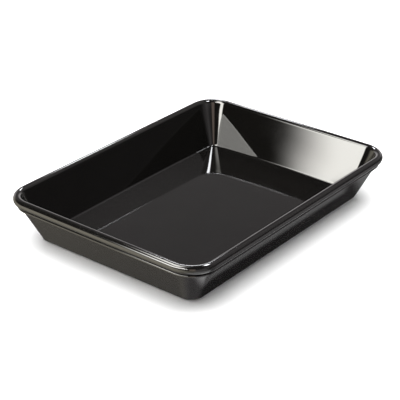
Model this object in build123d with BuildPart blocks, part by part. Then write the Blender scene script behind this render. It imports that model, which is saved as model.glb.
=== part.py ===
from build123d import *
import math
import os

os.makedirs("parts", exist_ok=True)

# A paint roller tray with a lift-out liner, in millimetres.  The origin is on the table under the
# middle of the tray, +X runs along its length and +Z is up.  An inset is always measured inwards
# from the outermost edge of the rim.

# Driving dimensions
LENGTH = 400.0
WIDTH = 300.0
HEIGHT = 60.0
RIM_CORNER_RADIUS = 36.0
BEAD_RADIUS = 5.5

# The liner: one moulding of even thickness, rolled over at its rim
LINER_THICKNESS = 1.2
LINER_FLOOR_TOP = 3.1
LINER_FLOOR_INSET = 34.3
LINER_FLOOR_CORNER_RADIUS = 9.5
LINER_FLOOR_FILLET = 3.0
ROLL_END_ANGLE = 75.0
WALL_INTO_BEAD = 0.2

# The outer tray: a stiff drafted shell with a flange, and an upstand that the liner hooks over
TRAY_BASE_THICKNESS = 1.2
TRAY_WALL_THICKNESS = 3.0
TRAY_BASE_INSET = 28.5
TRAY_BASE_CORNER_RADIUS = 17.0
TRAY_BASE_FILLET = 1.5
FLANGE_INSET = 4.5
FLANGE_BOTTOM = 44.0
FLANGE_THICKNESS = 3.6
FLANGE_UNDERSIDE_INSET = 8.2
UPSTAND_INSET = 6.4
UPSTAND_THICKNESS = 2.0
UPSTAND_TOP = 53.5

# The non-slip pads: rubber discs pressed into shallow pockets under the base
PAD_RADIUS = 9.0
PAD_STAND_OFF = 0.6
PAD_EDGE_CHAMFER = 0.25
PAD_SPACING_X = 290.0
PAD_SPACING_Y = 190.0
POCKET_DEPTH = 0.5

# The bead's section is a circle about this point
BEAD_CENTRE_INSET = BEAD_RADIUS
BEAD_CENTRE_HEIGHT = HEIGHT - BEAD_RADIUS
ROLL_INNER_RADIUS = BEAD_RADIUS - LINER_THICKNESS

# The liner's wall leaves that circle almost at a tangent and runs straight down to the floor.  It
# starts a little inside the bead, so that the two join along one clean line.
FLOOR_ACROSS = LINER_FLOOR_INSET - BEAD_CENTRE_INSET
FLOOR_DOWN = BEAD_CENTRE_HEIGHT - LINER_FLOOR_TOP
LINER_DRAFT = math.atan2(FLOOR_ACROSS, FLOOR_DOWN) - math.asin(
    BEAD_RADIUS / math.hypot(FLOOR_ACROSS, FLOOR_DOWN)
)
LINER_WALL_TOP = BEAD_CENTRE_HEIGHT + BEAD_RADIUS * math.sin(LINER_DRAFT)
LINER_WALL_TOP_INSET = BEAD_CENTRE_INSET + BEAD_RADIUS * math.cos(LINER_DRAFT) - WALL_INTO_BEAD
LINER_WALL_WIDTH = LINER_THICKNESS / math.cos(LINER_DRAFT)
LINER_UNDERSIDE = LINER_FLOOR_TOP - LINER_THICKNESS
LINER_UNDERSIDE_INSET = (
    LINER_FLOOR_INSET + LINER_THICKNESS * math.tan(LINER_DRAFT) - LINER_WALL_WIDTH
)

# The tray's wall is straight from its base to the flange
TRAY_UNDERSIDE = PAD_STAND_OFF
TRAY_FLOOR_TOP = TRAY_UNDERSIDE + TRAY_BASE_THICKNESS
FLANGE_TOP = FLANGE_BOTTOM + FLANGE_THICKNESS
TRAY_SLOPE = (TRAY_BASE_INSET - FLANGE_UNDERSIDE_INSET) / (FLANGE_BOTTOM - TRAY_UNDERSIDE)
TRAY_WALL_WIDTH = TRAY_WALL_THICKNESS * math.hypot(1.0, TRAY_SLOPE)
TRAY_FLOOR_INSET = TRAY_BASE_INSET - TRAY_SLOPE * TRAY_BASE_THICKNESS + TRAY_WALL_WIDTH
TRAY_MOUTH_INSET = FLANGE_UNDERSIDE_INSET - TRAY_SLOPE * FLANGE_THICKNESS + TRAY_WALL_WIDTH


def outline(inset, corner_radius):
    """The tray's outline seen from above, moved inwards, with its own corner radius."""
    RectangleRounded(LENGTH - 2 * inset, WIDTH - 2 * inset, corner_radius)


def rim_outline(inset):
    """An outline whose corners share the rim's corner centres."""
    outline(inset, RIM_CORNER_RADIUS - inset)


def rim_path(inset, height):
    """A closed path once round the rim, for sweeping a section along it."""
    x = LENGTH / 2 - inset
    y = WIDTH / 2 - inset
    FilletPolyline(
        (-x, -y, height),
        (x, -y, height),
        (x, y, height),
        (-x, y, height),
        radius=RIM_CORNER_RADIUS - inset,
        close=True,
    )


# Outer tray: a solid block with drafted walls, before it is hollowed
with BuildPart() as outer_tray:
    with BuildSketch(Plane.XY.offset(TRAY_UNDERSIDE)):
        outline(TRAY_BASE_INSET, TRAY_BASE_CORNER_RADIUS)
    with BuildSketch(Plane.XY.offset(FLANGE_BOTTOM)):
        rim_outline(FLANGE_UNDERSIDE_INSET)
    loft(ruled=True)
    fillet(outer_tray.edges().group_by(Axis.Z)[0], radius=TRAY_BASE_FILLET)

    # Flange round the top of the wall
    with BuildSketch(Plane.XY.offset(FLANGE_BOTTOM)):
        rim_outline(FLANGE_INSET + FLANGE_THICKNESS / 2)
    extrude(amount=FLANGE_THICKNESS)

    # Upstand that the liner's rolled rim hooks over
    with BuildSketch(Plane.XY.offset(FLANGE_TOP)):
        rim_outline(UPSTAND_INSET)
    extrude(amount=UPSTAND_TOP - FLANGE_TOP)

    # The flange's full round edge
    with BuildLine() as flange_path:
        rim_path(FLANGE_INSET + FLANGE_THICKNESS / 2, FLANGE_BOTTOM + FLANGE_THICKNESS / 2)
    flange_wire = flange_path.wire()
    with BuildSketch(Plane(origin=flange_wire @ 0, z_dir=flange_wire % 0)):
        Circle(FLANGE_THICKNESS / 2)
    sweep(path=flange_wire)

    # Hollow for the liner, straight through the upstand
    with BuildSketch(Plane.XY.offset(TRAY_FLOOR_TOP)):
        outline(TRAY_FLOOR_INSET, TRAY_BASE_CORNER_RADIUS - TRAY_WALL_WIDTH)
    with BuildSketch(Plane.XY.offset(FLANGE_TOP)):
        rim_outline(TRAY_MOUTH_INSET)
    loft(ruled=True, mode=Mode.SUBTRACT)
    with BuildSketch(Plane.XY.offset(FLANGE_TOP)):
        rim_outline(UPSTAND_INSET + UPSTAND_THICKNESS)
    extrude(amount=UPSTAND_TOP - FLANGE_TOP, mode=Mode.SUBTRACT)

    # Pockets for the non-slip pads
    with BuildSketch(Plane.XY.offset(TRAY_UNDERSIDE)):
        with GridLocations(PAD_SPACING_X, PAD_SPACING_Y, 2, 2):
            Circle(PAD_RADIUS)
    extrude(amount=POCKET_DEPTH, mode=Mode.SUBTRACT)

outer_tray.part.label = "outer_tray"
export_step(outer_tray.part, "parts/outer_tray.step")

# Rolled rim of the liner: a tube that is open below, swept once round the top
with BuildPart() as rolled_rim:
    with BuildLine() as bead_path:
        rim_path(BEAD_CENTRE_INSET, BEAD_CENTRE_HEIGHT)
    bead_wire = bead_path.wire()
    along = bead_wire % 0
    inwards = Axis.Z.direction.cross(along)
    with BuildSketch(Plane(origin=bead_wire @ 0, x_dir=inwards, z_dir=along)):
        start_angle = math.degrees(LINER_DRAFT)
        end_angle = 180 + ROLL_END_ANGLE
        with BuildLine():
            outside = CenterArc((0, 0), BEAD_RADIUS, start_angle, end_angle - start_angle)
            inside = CenterArc((0, 0), ROLL_INNER_RADIUS, start_angle, end_angle - start_angle)
            Line(outside @ 0, inside @ 0)
            CenterArc((outside @ 1 + inside @ 1) / 2, LINER_THICKNESS / 2, end_angle, 180)
        make_face()
    sweep(path=bead_wire)

# Liner: drafted wall and floor, one even thickness all over
with BuildPart() as liner:
    with BuildSketch(Plane.XY.offset(LINER_UNDERSIDE)):
        outline(LINER_UNDERSIDE_INSET, LINER_FLOOR_CORNER_RADIUS + LINER_WALL_WIDTH)
    with BuildSketch(Plane.XY.offset(LINER_WALL_TOP)):
        rim_outline(LINER_WALL_TOP_INSET - LINER_WALL_WIDTH)
    loft(ruled=True)
    fillet(liner.edges().group_by(Axis.Z)[0], radius=LINER_FLOOR_FILLET + LINER_THICKNESS)
    with BuildSketch(Plane.XY.offset(LINER_FLOOR_TOP)):
        outline(LINER_FLOOR_INSET, LINER_FLOOR_CORNER_RADIUS)
    with BuildSketch(Plane.XY.offset(LINER_WALL_TOP)):
        rim_outline(LINER_WALL_TOP_INSET)
    loft(ruled=True, mode=Mode.SUBTRACT)
    floor = liner.faces().filter_by(Axis.Z).sort_by(Axis.Z)[1]
    fillet(floor.edges(), radius=LINER_FLOOR_FILLET)
    add(rolled_rim.part)

liner.part.label = "liner"
export_step(liner.part, "parts/liner.step")

# Non-slip pads, one in each pocket
PAD_NAMES = {
    "pad_front_left": (-1, -1),
    "pad_front_right": (1, -1),
    "pad_rear_left": (-1, 1),
    "pad_rear_right": (1, 1),
}
for pad_name, (side_x, side_y) in PAD_NAMES.items():
    with BuildPart() as pad:
        with BuildSketch():
            with Locations((side_x * PAD_SPACING_X / 2, side_y * PAD_SPACING_Y / 2)):
                Circle(PAD_RADIUS)
        extrude(amount=PAD_STAND_OFF + POCKET_DEPTH)
        chamfer(pad.edges().group_by(Axis.Z)[0], length=PAD_EDGE_CHAMFER)
    pad.part.label = pad_name
    export_step(pad.part, f"parts/{pad_name}.step")
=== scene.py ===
import math

import bmesh
import bpy
from mathutils import Matrix, Vector


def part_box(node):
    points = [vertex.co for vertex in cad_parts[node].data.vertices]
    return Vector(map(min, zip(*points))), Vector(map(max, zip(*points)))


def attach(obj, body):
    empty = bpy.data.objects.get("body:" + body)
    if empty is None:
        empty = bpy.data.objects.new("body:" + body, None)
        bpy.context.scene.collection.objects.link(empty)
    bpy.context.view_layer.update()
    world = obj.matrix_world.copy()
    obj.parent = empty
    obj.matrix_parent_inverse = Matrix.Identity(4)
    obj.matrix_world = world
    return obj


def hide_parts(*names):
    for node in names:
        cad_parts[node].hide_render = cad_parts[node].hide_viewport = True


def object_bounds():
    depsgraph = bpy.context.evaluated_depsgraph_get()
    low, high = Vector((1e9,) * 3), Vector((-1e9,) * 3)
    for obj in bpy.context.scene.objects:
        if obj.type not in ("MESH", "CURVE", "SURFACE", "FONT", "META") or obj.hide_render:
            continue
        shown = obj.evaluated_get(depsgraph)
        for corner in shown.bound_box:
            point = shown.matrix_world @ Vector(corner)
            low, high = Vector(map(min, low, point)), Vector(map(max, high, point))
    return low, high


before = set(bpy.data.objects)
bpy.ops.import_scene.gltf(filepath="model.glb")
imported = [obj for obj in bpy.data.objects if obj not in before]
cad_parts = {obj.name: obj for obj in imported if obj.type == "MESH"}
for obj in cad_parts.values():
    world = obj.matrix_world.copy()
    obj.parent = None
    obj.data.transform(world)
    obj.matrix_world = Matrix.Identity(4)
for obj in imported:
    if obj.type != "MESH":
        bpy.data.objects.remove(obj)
cad_low, cad_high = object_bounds()
MM = 0.001

# --- Outer tray ------------------------------------------------------------------------------
# A stiff black injection moulding: flat base, drafted walls, a flange with a full round edge, and
# above it the upstand that the liner hooks over.  Every section is one outline of the rim, moved
# inwards.  Its base is 1.2 mm thick and its walls are 3 mm.

LENGTH = cad_high.x - cad_low.x
WIDTH = cad_high.y - cad_low.y
RIM_CORNER_RADIUS = 36 * MM
tray_low, tray_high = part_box("outer_tray")

BASE_THICKNESS = 1.2 * MM
WALL_THICKNESS = 3.0 * MM
BASE_EDGE_RADIUS = 1.5 * MM
BASE_INSET = 28.5 * MM
BASE_CORNER_RADIUS = 17 * MM
FLANGE_INSET = cad_high.x - tray_high.x
FLANGE_BOTTOM = 44.0 * MM
FLANGE_RADIUS = 1.8 * MM
WALL_TOP_INSET = 8.2 * MM
UPSTAND_INSET = 6.4 * MM
UPSTAND_THICKNESS = 2.0 * MM

CORNER_STEPS = 24
SIDE_SHARES = (0.008, 0.06, 0.16, 0.27, 0.39, 0.5, 0.61, 0.73, 0.84, 0.94, 0.992)
ROUND_STEPS = 10


def outline_ring(inset, height, corner_radius):
    """The points once round the rim's outline, moved inwards, with corners of their own radius."""
    across_x = LENGTH / 2 - inset - corner_radius
    across_y = WIDTH / 2 - inset - corner_radius
    ring = []
    corners = ((1, 1), (-1, 1), (-1, -1), (1, -1))
    for quarter, (side_x, side_y) in enumerate(corners):
        for step in range(CORNER_STEPS + 1):
            angle = (quarter + step / CORNER_STEPS) * math.pi / 2
            x = side_x * across_x + corner_radius * math.cos(angle)
            y = side_y * across_y + corner_radius * math.sin(angle)
            ring.append(Vector((x, y, height)))
        next_x, next_y = corners[(quarter + 1) % 4]
        turn = (quarter + 1) * math.pi / 2
        start = ring[-1]
        end = Vector(
            (
                next_x * across_x + corner_radius * math.cos(turn),
                next_y * across_y + corner_radius * math.sin(turn),
                height,
            )
        )
        for share in SIDE_SHARES:
            ring.append(start.lerp(end, share))
    return ring


def close_ring(mesh, loop):
    """Fills a flat, narrow ring straight across from one long side to the other."""
    last = len(loop) - len(SIDE_SHARES) - 1
    left_start = 2 * (CORNER_STEPS + 1) + len(SIDE_SHARES) - 1
    left_end = left_start + len(SIDE_SHARES) + 1
    mesh.faces.new([loop[last - 1]] + loop[last:] + [loop[0], loop[1]])
    for step in range(1, left_start - 1):
        mesh.faces.new((loop[step], loop[step + 1], loop[last - step - 1], loop[last - step]))
    mesh.faces.new(loop[left_start - 1 : left_end + 2])


def moulding(name, sections):
    """A closed moulding through its sections, each an inset, a height and a corner radius."""
    mesh = bmesh.new()
    loops = []
    for section in sections:
        loops.append([mesh.verts.new(point) for point in outline_ring(*section)])
    for low, high in zip(loops, loops[1:]):
        for step in range(len(low)):
            after = (step + 1) % len(low)
            mesh.faces.new((low[step], low[after], high[after], high[step]))
    close_ring(mesh, loops[0])
    close_ring(mesh, loops[-1])
    bmesh.ops.recalc_face_normals(mesh, faces=mesh.faces)
    data = bpy.data.meshes.new(name)
    mesh.to_mesh(data)
    mesh.free()
    data.shade_smooth()
    data.set_sharp_from_angle(angle=math.radians(40))
    piece = bpy.data.objects.new(name, data)
    bpy.context.scene.collection.objects.link(piece)
    return piece


def rim_radius(inset):
    """Corner radius of an outline whose corners share the rim's corner centres."""
    return RIM_CORNER_RADIUS - inset


def flat_sections(height, edge_inset, edge_radius):
    """Sections over a flat floor, from near its middle line out to its edge."""
    sections = []
    middle_inset = WIDTH / 2 - 2 * MM
    for share in (0.0, 0.12, 0.3, 0.5, 0.7, 0.85, 0.95, 0.985, 1.0):
        inset = middle_inset + (edge_inset - middle_inset) * share
        radius = min(edge_radius, (WIDTH / 2 - inset) * 0.5)
        sections.append((inset, height, radius))
    return sections


tray_slope = (BASE_INSET - WALL_TOP_INSET) / (FLANGE_BOTTOM - tray_low.z)


def tray_corner(inset):
    """Corner radius of the tray's wall: tighter at the base than under the flange."""
    share = (inset - WALL_TOP_INSET) / (BASE_INSET - WALL_TOP_INSET)
    return rim_radius(WALL_TOP_INSET) * (1 - share) + BASE_CORNER_RADIUS * share


def rounded(centre_inset, centre_height, radius, start, end, corner, steps=ROUND_STEPS):
    """Sections round an arc.  Angles are in degrees: 0 points inwards, 90 up and 180 outwards."""
    sections = []
    for step in range(steps + 1):
        angle = math.radians(start + (end - start) * step / steps)
        inset = centre_inset + radius * math.cos(angle)
        sections.append((inset, centre_height + radius * math.sin(angle), corner(inset)))
    return sections


def wall(start, end, corner, shares=(0.02, 0.15, 0.3, 0.5, 0.7, 0.85, 0.98)):
    """Sections along a straight wall, without its two ends."""
    sections = []
    for share in shares:
        inset = start[0] + (end[0] - start[0]) * share
        sections.append((inset, start[1] + (end[1] - start[1]) * share, corner(inset)))
    return sections


tray_draft = math.degrees(math.atan(tray_slope))
base_turn = 90 - tray_draft
base_tangent = BASE_EDGE_RADIUS * math.tan(math.radians(base_turn / 2))
base_edge = rounded(
    BASE_INSET + base_tangent,
    tray_low.z + BASE_EDGE_RADIUS,
    BASE_EDGE_RADIUS,
    270,
    270 - base_turn,
    tray_corner,
    6,
)
wall_width = WALL_THICKNESS * math.hypot(1, tray_slope)
flange_top = FLANGE_BOTTOM + 2 * FLANGE_RADIUS
flange_centre = FLANGE_INSET + FLANGE_RADIUS
floor_top = tray_low.z + BASE_THICKNESS
mouth = (WALL_TOP_INSET - tray_slope * (flange_top - FLANGE_BOTTOM) + wall_width, flange_top)
foot = (BASE_INSET - tray_slope * BASE_THICKNESS + wall_width, floor_top)
upstand_inside = UPSTAND_INSET + UPSTAND_THICKNESS


def inside_corner(inset):
    """Corner radius inside the tray's wall, an even thickness in from the outside."""
    return tray_corner(inset - wall_width) - wall_width


def rim_sections(*points):
    """Sections at given insets and heights, with corners that follow the rim."""
    return [(inset, height, rim_radius(inset)) for inset, height in points]


tray_sections = flat_sections(tray_low.z, base_edge[0][0], base_edge[0][2])[:-1]
tray_sections += base_edge
tray_sections += wall(base_edge[-1][:2], (WALL_TOP_INSET, FLANGE_BOTTOM), tray_corner)
tray_sections += rim_sections((WALL_TOP_INSET, FLANGE_BOTTOM))
tray_sections += rounded(
    flange_centre, FLANGE_BOTTOM + FLANGE_RADIUS, FLANGE_RADIUS, 270, 90, rim_radius, 14
)
tray_sections += rim_sections(
    (UPSTAND_INSET, flange_top),
    (UPSTAND_INSET, tray_high.z - 0.4 * MM),
    (UPSTAND_INSET + 0.4 * MM, tray_high.z),
    (upstand_inside - 0.4 * MM, tray_high.z),
    (upstand_inside, tray_high.z - 0.4 * MM),
    (upstand_inside, flange_top),
)
tray_sections += [(mouth[0], mouth[1], inside_corner(mouth[0]))]
tray_sections += wall(mouth, foot, inside_corner)
tray_sections += reversed(flat_sections(floor_top, foot[0], inside_corner(foot[0])))
outer_tray = moulding("outer_tray_moulding", tray_sections)


PLASTIC_BLACK = (0.0030, 0.0028, 0.0026)
PLASTIC_IOR = 1.55
TRAY_ROUGHNESS = (0.04, 0.12)
SCUFF_ROUGHNESS = 0.12
RIM_CREST = (56 * MM, 60 * MM)
FOOT_EDGE = (1 * MM, 0)
MOULDED_WAVE = 0.2 * MM
FINE_GRAIN = 0.002 * MM


def gloss_plastic(name, colour, roughness):
    """Black moulded plastic: a clear gloss with smudges, fine wiping marks and a soft moulded wave.

    The crest of the rim and the edge it stands on are scuffed a little duller.
    """
    material = bpy.data.materials.new(name)
    material.use_nodes = True
    nodes = material.node_tree.nodes
    links = material.node_tree.links
    shader = nodes["Principled BSDF"]
    shader.inputs["IOR"].default_value = PLASTIC_IOR
    where = nodes.new("ShaderNodeTexCoord")

    def noise(scale, detail, stretch=(1, 1, 1)):
        spread = nodes.new("ShaderNodeMapping")
        spread.inputs["Scale"].default_value = stretch
        links.new(where.outputs["Object"], spread.inputs["Vector"])
        texture = nodes.new("ShaderNodeTexNoise")
        texture.inputs["Scale"].default_value = scale
        texture.inputs["Detail"].default_value = detail
        links.new(spread.outputs["Vector"], texture.inputs["Vector"])
        return texture.outputs["Fac"]

    def remap(value, low, high, out_low, out_high):
        node = nodes.new("ShaderNodeMapRange")
        node.inputs["From Min"].default_value = low
        node.inputs["From Max"].default_value = high
        node.inputs["To Min"].default_value = out_low
        node.inputs["To Max"].default_value = out_high
        links.new(value, node.inputs["Value"])
        return node.outputs["Result"]

    def combine(operation, first, second):
        node = nodes.new("ShaderNodeMath")
        node.operation = operation
        links.new(first, node.inputs[0])
        if isinstance(second, float):
            node.inputs[1].default_value = second
        else:
            links.new(second, node.inputs[1])
        return node.outputs["Value"]

    def bump(height, distance, strength, normal=None):
        node = nodes.new("ShaderNodeBump")
        node.inputs["Distance"].default_value = distance
        node.inputs["Strength"].default_value = strength
        links.new(height, node.inputs["Height"])
        if normal is not None:
            links.new(normal, node.inputs["Normal"])
        return node.outputs["Normal"]

    smudges = remap(noise(14, 4), 0.45, 0.75, 0.0, 1.0)
    wipes = remap(noise(60, 3, (1, 14, 14)), 0.62, 0.8, 0.0, 1.0)
    roughness_map = remap(combine("ADD", smudges, combine("MULTIPLY", wipes, 0.5)), 0, 1.5, *roughness)
    parts = nodes.new("ShaderNodeSeparateXYZ")
    links.new(where.outputs["Object"], parts.inputs["Vector"])
    crest = remap(parts.outputs["Z"], *RIM_CREST, 0, 1)
    foot = remap(parts.outputs["Z"], *FOOT_EDGE, 0, 1)
    scuffs = remap(noise(350, 4), 0.5, 0.7, 0, 1)
    worn = combine("MULTIPLY", combine("MAXIMUM", crest, foot), scuffs)
    worn_roughness = combine("ADD", roughness_map, combine("MULTIPLY", worn, SCUFF_ROUGHNESS))
    links.new(worn_roughness, shader.inputs["Roughness"])
    mottle = nodes.new("ShaderNodeMix")
    mottle.data_type = "RGBA"
    mottle.inputs["A"].default_value = (*colour, 1)
    mottle.inputs["B"].default_value = (*(channel * 1.5 for channel in colour), 1)
    links.new(noise(30, 5), mottle.inputs["Factor"])
    links.new(mottle.outputs["Result"], shader.inputs["Base Color"])
    wave = bump(noise(11, 1), MOULDED_WAVE, 0.25)
    fine = bump(noise(900, 2), FINE_GRAIN, 0.1, wave)
    links.new(fine, shader.inputs["Normal"])
    return material


tray_plastic = gloss_plastic("tray_plastic", PLASTIC_BLACK, TRAY_ROUGHNESS)
outer_tray.data.materials.append(tray_plastic)
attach(outer_tray, "tray")
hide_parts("outer_tray")

# --- Non-slip pads ---------------------------------------------------------------------------
# Four soft rubber discs, pressed into shallow pockets under the base.  Each has a rounded edge and
# two shallow rings in its face, which grip the table.

PAD_NODES = ("pad_front_left", "pad_front_right", "pad_rear_left", "pad_rear_right")
PAD_STEPS = 48
PAD_GROOVE = 0.25 * MM
RUBBER_GRAIN = 0.04 * MM

pad_rubber = bpy.data.materials.new("pad_rubber")
pad_rubber.use_nodes = True
rubber_nodes = pad_rubber.node_tree.nodes
rubber_links = pad_rubber.node_tree.links
rubber_shader = rubber_nodes["Principled BSDF"]
rubber_shader.inputs["Specular IOR Level"].default_value = 0.35
rubber_grain = rubber_nodes.new("ShaderNodeTexNoise")
rubber_grain.inputs["Scale"].default_value = 1500
rubber_grain.inputs["Detail"].default_value = 3
rubber_where = rubber_nodes.new("ShaderNodeTexCoord")
rubber_links.new(rubber_where.outputs["Object"], rubber_grain.inputs["Vector"])
rubber_tone = rubber_nodes.new("ShaderNodeValToRGB")
rubber_tone.color_ramp.elements[0].color = (0.018, 0.018, 0.019, 1)
rubber_tone.color_ramp.elements[1].color = (0.04, 0.04, 0.042, 1)
rubber_links.new(rubber_grain.outputs["Fac"], rubber_tone.inputs["Fac"])
rubber_links.new(rubber_tone.outputs["Color"], rubber_shader.inputs["Base Color"])
rubber_shader.inputs["Roughness"].default_value = 0.7
rubber_bump = rubber_nodes.new("ShaderNodeBump")
rubber_bump.inputs["Distance"].default_value = RUBBER_GRAIN
rubber_links.new(rubber_grain.outputs["Fac"], rubber_bump.inputs["Height"])
rubber_links.new(rubber_bump.outputs["Normal"], rubber_shader.inputs["Normal"])

for node in PAD_NODES:
    pad_low, pad_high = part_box(node)
    middle = (pad_low + pad_high) / 2
    radius = (pad_high.x - pad_low.x) / 2
    profile = [
        (0.12 * radius, pad_low.z + PAD_GROOVE),
        (0.30 * radius, pad_low.z + PAD_GROOVE),
        (0.34 * radius, pad_low.z),
        (0.60 * radius, pad_low.z),
        (0.64 * radius, pad_low.z + PAD_GROOVE),
        (0.70 * radius, pad_low.z + PAD_GROOVE),
        (0.74 * radius, pad_low.z),
        (radius - 0.4 * MM, pad_low.z),
        (radius - 0.1 * MM, pad_low.z + 0.12 * MM),
        (radius, pad_low.z + 0.4 * MM),
        (radius, pad_high.z),
        (0.12 * radius, pad_high.z),
    ]
    pad_mesh = bmesh.new()
    pad_loops = []
    for ring_radius, height in profile:
        loop = []
        for step in range(PAD_STEPS):
            angle = step * 2 * math.pi / PAD_STEPS
            x = middle.x + ring_radius * math.cos(angle)
            y = middle.y + ring_radius * math.sin(angle)
            loop.append(pad_mesh.verts.new((x, y, height)))
        pad_loops.append(loop)
    for low, high in zip(pad_loops, pad_loops[1:]):
        for step in range(PAD_STEPS):
            after = (step + 1) % PAD_STEPS
            pad_mesh.faces.new((low[step], low[after], high[after], high[step]))
    pad_mesh.faces.new(pad_loops[0])
    pad_mesh.faces.new(pad_loops[-1])
    bmesh.ops.recalc_face_normals(pad_mesh, faces=pad_mesh.faces)
    pad_data = bpy.data.meshes.new(node + "_rubber")
    pad_mesh.to_mesh(pad_data)
    pad_mesh.free()
    pad_data.shade_smooth()
    pad_data.set_sharp_from_angle(angle=math.radians(40))
    pad = bpy.data.objects.new(node + "_rubber", pad_data)
    bpy.context.scene.collection.objects.link(pad)
    pad.data.materials.append(pad_rubber)
    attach(pad, "tray")
    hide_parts(node)

# --- Liner -----------------------------------------------------------------------------------
# A lift-out moulding, 1.2 mm thick all over: a floor that bows up very slightly as it cools, a
# drafted wall, and a rim rolled over outwards into a full round bead, which hooks over the tray's
# upstand.

LINER_THICKNESS = 1.2 * MM
BEAD_RADIUS = 5.5 * MM
ROLL_END = 255
FLOOR_INSET = 34.3 * MM
FLOOR_CORNER_RADIUS = 9.5 * MM
FLOOR_FILLET = 3.0 * MM
CORNER_EASE = 1.5 * MM
BOW = 1.0 * MM
BOW_REACH = 30 * MM
LINER_ROUGHNESS = (0.03, 0.09)

liner_low, liner_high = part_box("liner")
liner_floor = liner_low.z + LINER_THICKNESS
bead_height = liner_high.z - BEAD_RADIUS
across = FLOOR_INSET - BEAD_RADIUS
down = bead_height - liner_floor
draft = math.atan2(across, down) - math.asin(BEAD_RADIUS / math.hypot(across, down))
draft_degrees = math.degrees(draft)
wall_top = (
    BEAD_RADIUS + BEAD_RADIUS * math.cos(draft),
    bead_height + BEAD_RADIUS * math.sin(draft),
)


def liner_corner(inset):
    """Corner radius inside the liner: it leaves the bead with the rim's corners, and then closes
    more slowly towards the floor."""
    run = inset - wall_top[0]
    if run < 0:
        return rim_radius(inset)
    full_run = FLOOR_INSET - wall_top[0]
    drop = rim_radius(wall_top[0]) - FLOOR_CORNER_RADIUS
    rate = (drop - CORNER_EASE) / (full_run - CORNER_EASE)
    eased = CORNER_EASE * (1 - math.exp(-run / CORNER_EASE))
    return max(rim_radius(wall_top[0]) - rate * run - (1 - rate) * eased, 2 * MM)


def underside_corner(inset):
    """Corner radius outside the liner's wall, an even thickness out from its inside."""
    return liner_corner(inset + LINER_THICKNESS / math.cos(draft)) + LINER_THICKNESS / math.cos(draft)


turn = 90 - draft_degrees
fillet_reach = math.tan(math.radians(turn / 2))
fillet_inset = FLOOR_INSET + FLOOR_FILLET * fillet_reach
fillet = rounded(
    fillet_inset, liner_floor + FLOOR_FILLET, FLOOR_FILLET, 270, 270 - turn, liner_corner, 12
)
bead = rounded(BEAD_RADIUS, bead_height, BEAD_RADIUS, draft_degrees, ROLL_END, liner_corner, 40)
roll_middle = BEAD_RADIUS - LINER_THICKNESS / 2
roll_end = math.radians(ROLL_END)
free_end = rounded(
    BEAD_RADIUS + roll_middle * math.cos(roll_end),
    bead_height + roll_middle * math.sin(roll_end),
    LINER_THICKNESS / 2,
    ROLL_END,
    ROLL_END + 180,
    rim_radius,
    8,
)
inner_roll = rounded(
    BEAD_RADIUS,
    bead_height,
    BEAD_RADIUS - LINER_THICKNESS,
    ROLL_END,
    draft_degrees,
    rim_radius,
    24,
)
outer_fillet = rounded(
    fillet_inset,
    liner_floor + FLOOR_FILLET,
    FLOOR_FILLET + LINER_THICKNESS,
    270 - turn,
    270,
    underside_corner,
    8,
)
liner_sections = flat_sections(liner_floor, fillet[0][0], fillet[0][2])[:-1]
liner_sections += fillet
liner_sections += wall(fillet[-1][:2], bead[0][:2], liner_corner)
liner_sections += bead
liner_sections += free_end[1:-1]
liner_sections += inner_roll
liner_sections += wall(inner_roll[-1][:2], outer_fillet[0][:2], underside_corner)
liner_sections += outer_fillet
liner_sections += reversed(
    flat_sections(liner_low.z, outer_fillet[-1][0], outer_fillet[-1][2])[:-1]
)
liner = moulding("liner_moulding", liner_sections)
floor_x = LENGTH / 2 - FLOOR_INSET
floor_y = WIDTH / 2 - FLOOR_INSET
for vertex in liner.data.vertices:
    bow_x = max(1 - (vertex.co.x / floor_x) ** 2, 0)
    bow_y = max(1 - (vertex.co.y / floor_y) ** 2, 0)
    share = min(max((BOW_REACH - vertex.co.z) / (BOW_REACH - liner_floor), 0), 1)
    vertex.co.z += BOW * (bow_x + bow_y) * share
liner_plastic = gloss_plastic("liner_plastic", PLASTIC_BLACK, LINER_ROUGHNESS)
liner.data.materials.append(liner_plastic)
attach(liner, "liner")
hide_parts("liner")

# --- Floor -----------------------------------------------------------------------------------
# A plain matt white surface that the tray stands on, far wider than any view of it. Far from the
# tray, past the reach of the overhead light, it glows a little so that it stays white.

FLOOR_REACH = 20.0
FLOOR_WHITE = (0.9, 0.9, 0.9, 1)
GLOW_START = 1.5
GLOW_FULL = 4.0

floor_data = bpy.data.meshes.new("floor")
floor_data.from_pydata(
    [
        (-FLOOR_REACH, -FLOOR_REACH, 0),
        (FLOOR_REACH, -FLOOR_REACH, 0),
        (FLOOR_REACH, FLOOR_REACH, 0),
        (-FLOOR_REACH, FLOOR_REACH, 0),
    ],
    [],
    [(0, 1, 2, 3)],
)
floor = bpy.data.objects.new("floor", floor_data)
bpy.context.scene.collection.objects.link(floor)
floor_paint = bpy.data.materials.new("floor_paint")
floor_paint.use_nodes = True
floor_nodes = floor_paint.node_tree.nodes
floor_links = floor_paint.node_tree.links
floor_shader = floor_nodes["Principled BSDF"]
floor_shader.inputs["Base Color"].default_value = FLOOR_WHITE
floor_shader.inputs["Roughness"].default_value = 1.0
floor_shader.inputs["Specular IOR Level"].default_value = 0.0
floor_shader.inputs["Emission Color"].default_value = (1, 1, 1, 1)
floor_spot = floor_nodes.new("ShaderNodeTexCoord")
floor_distance = floor_nodes.new("ShaderNodeVectorMath")
floor_distance.operation = "LENGTH"
floor_links.new(floor_spot.outputs["Object"], floor_distance.inputs[0])
far_glow = floor_nodes.new("ShaderNodeMapRange")
far_glow.inputs["From Min"].default_value = GLOW_START
far_glow.inputs["From Max"].default_value = GLOW_FULL
floor_links.new(floor_distance.outputs["Value"], far_glow.inputs["Value"])
floor_links.new(far_glow.outputs["Result"], floor_shader.inputs["Emission Strength"])
floor.data.materials.append(floor_paint)
floor.visible_glossy = False

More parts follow.
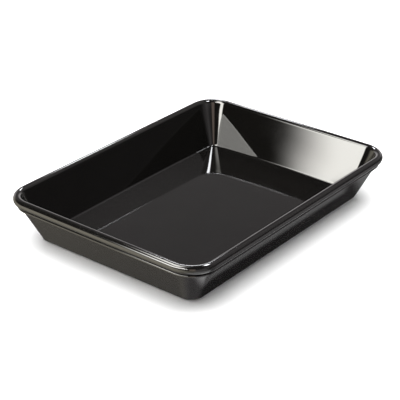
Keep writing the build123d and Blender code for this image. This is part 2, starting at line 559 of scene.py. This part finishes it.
# --- Lights ----------------------------------------------------------------------------------
# Soft boxes at the left, overhead and at the right, with a dim warm card behind the camera.  They
# show only in the gloss, as do three cards just under the floor, which stand in for its pale
# surface beside the walls, and the sky's soft patches.  One wide overhead light whitens the floor.


def soft_box(name, place, aim, size, brightness, colour, edge, roll=0.0, for_floor=False):
    """An area light that is brightest in its middle and fades out towards its edges."""
    light = bpy.data.lights.new(name, "AREA")
    light.shape = "RECTANGLE"
    light.size, light.size_y = size
    light.color = colour
    light.energy = brightness * math.pi * size[0] * size[1]
    box = bpy.data.objects.new(name, light)
    box.location = place
    facing = (Vector(aim) - Vector(place)).to_track_quat("-Z", "Y").to_matrix()
    box.rotation_euler = (facing @ Matrix.Rotation(math.radians(roll), 3, "Z")).to_euler()
    bpy.context.scene.collection.objects.link(box)
    box.visible_camera = False
    box.visible_diffuse = for_floor
    box.visible_glossy = not for_floor
    if for_floor:
        return
    light.use_nodes = True
    nodes = light.node_tree.nodes
    links = light.node_tree.links
    spot = nodes.new("ShaderNodeNewGeometry")
    parts = nodes.new("ShaderNodeSeparateXYZ")
    links.new(spot.outputs["Parametric"], parts.inputs["Vector"])
    fades = []
    for axis, (start_fade, end_fade) in zip(("X", "Y"), edge):
        for low, high in ((0.0, start_fade), (1.0, 1.0 - end_fade)):
            fade = nodes.new("ShaderNodeMapRange")
            fade.interpolation_type = "SMOOTHERSTEP"
            fade.inputs["From Min"].default_value = low
            fade.inputs["From Max"].default_value = high
            links.new(parts.outputs[axis], fade.inputs["Value"])
            fades.append(fade.outputs["Result"])
    total = fades[0]
    for fade in fades[1:]:
        both = nodes.new("ShaderNodeMath")
        both.operation = "MULTIPLY"
        links.new(total, both.inputs[0])
        links.new(fade, both.inputs[1])
        total = both.outputs["Value"]
    links.new(total, nodes["Emission"].inputs["Strength"])


CREAM = (1.0, 0.985, 0.93)
COOL = (0.96, 0.97, 1.0)
WARM = (1.0, 0.8, 0.68)
WHITE = (1, 1, 1)
soft_box(
    "left_box",
    (-2, 0.59, 1.63),
    (0, 0.59, 1.63),
    (2.25, 1.3),
    17.5,
    CREAM,
    ((0.13, 0.05), (0.05, 0.05)),
    roll=24,
)
soft_box(
    "left_high_box",
    (-2, -0.45, 1.75),
    (0, -0.45, 1.75),
    (0.8, 0.6),
    20,
    CREAM,
    ((0.1, 0.1), (0.1, 0.1)),
)
OVERHEAD = 0.8
OVERHEAD_BOXES = (
    ("back_box", (-0.36, 0.2), (0.7, 0.62), 15, CREAM, ((0.3, 0.15), (0.6, 0.2))),
    ("top_box", (0.225, -0.12), (0.19, 0.13), 110, COOL, ((0.3, 0.3), (0.3, 0.3))),
    ("right_box", (0.72, 0.6), (0.3, 0.26), 36, COOL, ((0.2, 0.5), (0.3, 0.3))),
)
for name, spot, size, brightness, colour, edge in OVERHEAD_BOXES:
    soft_box(name, (*spot, OVERHEAD), (*spot, 0), size, brightness, colour, edge)
soft_box(
    "warm_card",
    (-1.75, -1.4, 1.15),
    (0.18, 0.12, 0.04),
    (1.0, 1.4),
    1.6,
    WARM,
    ((0.2, 0.2), (0.1, 0.1)),
)
GLOW_DEPTH = -2 * MM
FLOOR_GLOWS = (
    ((-0.21, -0.20), (0.14, 0.14), 1.5, ((0.15, 0.15), (0.15, 0.15))),
    ((0.0, -0.235), (0.34, 0.21), 0.24, ((0.1, 0.1), (0.1, 0.03))),
    ((0.36, -0.15), (0.4, 0.4), 0.3, ((0.1, 0.1), (0.1, 0.1))),
)
for number, (spot, size, brightness, edge) in enumerate(FLOOR_GLOWS):
    place = (*spot, GLOW_DEPTH)
    soft_box(f"floor_glow_{number}", place, (*spot, 1), size, brightness, WHITE, edge)
soft_box(
    "floor_light",
    (0.55, 0.8, 2.2),
    (0.55, 0.8, 0),
    (4.6, 4.6),
    5.0,
    WHITE,
    None,
    for_floor=True,
)

world = bpy.data.worlds.new("studio")
bpy.context.scene.world = world
world.use_nodes = True
world.cycles_visibility.diffuse = False
world_nodes = world.node_tree.nodes
world_links = world.node_tree.links
direction = world_nodes.new("ShaderNodeTexCoord").outputs["Generated"]


def world_math(operation, first, second):
    """One sum on the sky's values, each a socket or a number."""
    node = world_nodes.new("ShaderNodeMath")
    node.operation = operation
    for socket, value in zip(node.inputs, (first, second)):
        if isinstance(value, (int, float)):
            socket.default_value = value
        else:
            world_links.new(value, socket)
    return node.outputs["Value"]


def towards(x, y, z):
    """How far the sky's direction leans towards a point of the compass."""
    node = world_nodes.new("ShaderNodeVectorMath")
    node.operation = "DOT_PRODUCT"
    node.inputs[1].default_value = (x, y, z)
    world_links.new(direction, node.inputs[0])
    return node.outputs["Value"]


def world_fade(value, low, high):
    """A smooth step from 0 at the first value to 1 at the second."""
    node = world_nodes.new("ShaderNodeMapRange")
    node.interpolation_type = "SMOOTHSTEP"
    node.inputs["From Min"].default_value = low
    node.inputs["From Max"].default_value = high
    world_links.new(value, node.inputs["Value"])
    return node.outputs["Result"]


def glow(strength, first, second):
    """A soft patch of sky: its strength times two smooth steps."""
    return world_math("MULTIPLY", world_math("MULTIPLY", first, second), strength)


DIAGONAL = math.sqrt(0.5)
SKY_RIGHT = (1.0, 0.95, 0.96, 1)
SKY_LEFT = (1.0, 0.93, 0.76, 1)
height = towards(0, 0, 1)
left_side = world_math("MAXIMUM", towards(-0.9, 0.43, 0), 0)
right_front = world_math("MAXIMUM", towards(DIAGONAL, -DIAGONAL, 0), 0)
right_back = towards(DIAGONAL, DIAGONAL, 0)
front_side = towards(-0.41, -0.91, 0)
high_right = towards(0.573, -0.04, 0.819)
low_right = towards(DIAGONAL, 0, -DIAGONAL)
glows = [
    glow(3.0, world_math("POWER", left_side, 1.8), world_fade(height, 0.2, 0.1)),
    glow(0.7, world_math("POWER", right_front, 6), world_fade(height, 0.05, -0.05)),
    glow(1.1, world_fade(right_back, 0.55, 0.9), world_fade(height, 0.42, 0.3)),
    glow(0.2, world_fade(right_back, 0.3, 0.8), world_fade(height, -0.1, 0.1)),
    glow(0.7, world_fade(front_side, 0.8, 0.95), world_fade(height, 0.6, 0.4)),
    glow(0.35, world_fade(right_front, 0.3, 0.6), world_fade(height, 0.25, 0.4)),
    glow(0.3, world_fade(height, -0.8, -1.0), world_fade(height, 0, -0.1)),
    glow(0.03, world_fade(low_right, 0.8, 0.95), world_fade(height, 0, -0.1)),
    glow(0.55, world_fade(high_right, 0.975, 1.0), world_fade(height, 0.5, 0.6)),
    glow(0.05, world_fade(height, -0.2, 0.2), world_fade(height, -0.2, 0.2)),
]
light_total = glows[0]
for part in glows[1:]:
    light_total = world_math("ADD", light_total, part)
sky_colour = world_nodes.new("ShaderNodeMix")
sky_colour.data_type = "RGBA"
sky_colour.inputs["A"].default_value = SKY_RIGHT
sky_colour.inputs["B"].default_value = SKY_LEFT
world_links.new(world_fade(left_side, 0.1, 0.4), sky_colour.inputs["Factor"])
world_links.new(sky_colour.outputs["Result"], world_nodes["Background"].inputs["Color"])
world_links.new(light_total, world_nodes["Background"].inputs["Strength"])

# --- Camera ----------------------------------------------------------------------------------
# A long lens, a little above the tray's near corner.

CAMERA_AIM = Vector((0.0289, 0.0289, 0))
CAMERA_AZIMUTH = math.radians(-51.42)
CAMERA_ELEVATION = math.radians(27.21)
CAMERA_DISTANCE = 1.6513

camera_data = bpy.data.cameras.new("camera")
camera_data.sensor_width = 36
camera_data.lens = 116.35
camera = bpy.data.objects.new("camera", camera_data)
away = Vector(
    (
        math.sin(CAMERA_AZIMUTH) * math.cos(CAMERA_ELEVATION),
        -math.cos(CAMERA_AZIMUTH) * math.cos(CAMERA_ELEVATION),
        math.sin(CAMERA_ELEVATION),
    )
)
camera.location = CAMERA_AIM + away * CAMERA_DISTANCE
camera.rotation_euler = (-away).to_track_quat("-Z", "Y").to_euler()
bpy.context.scene.collection.objects.link(camera)
bpy.context.scene.camera = camera
bpy.context.scene.view_settings.view_transform = "Standard"
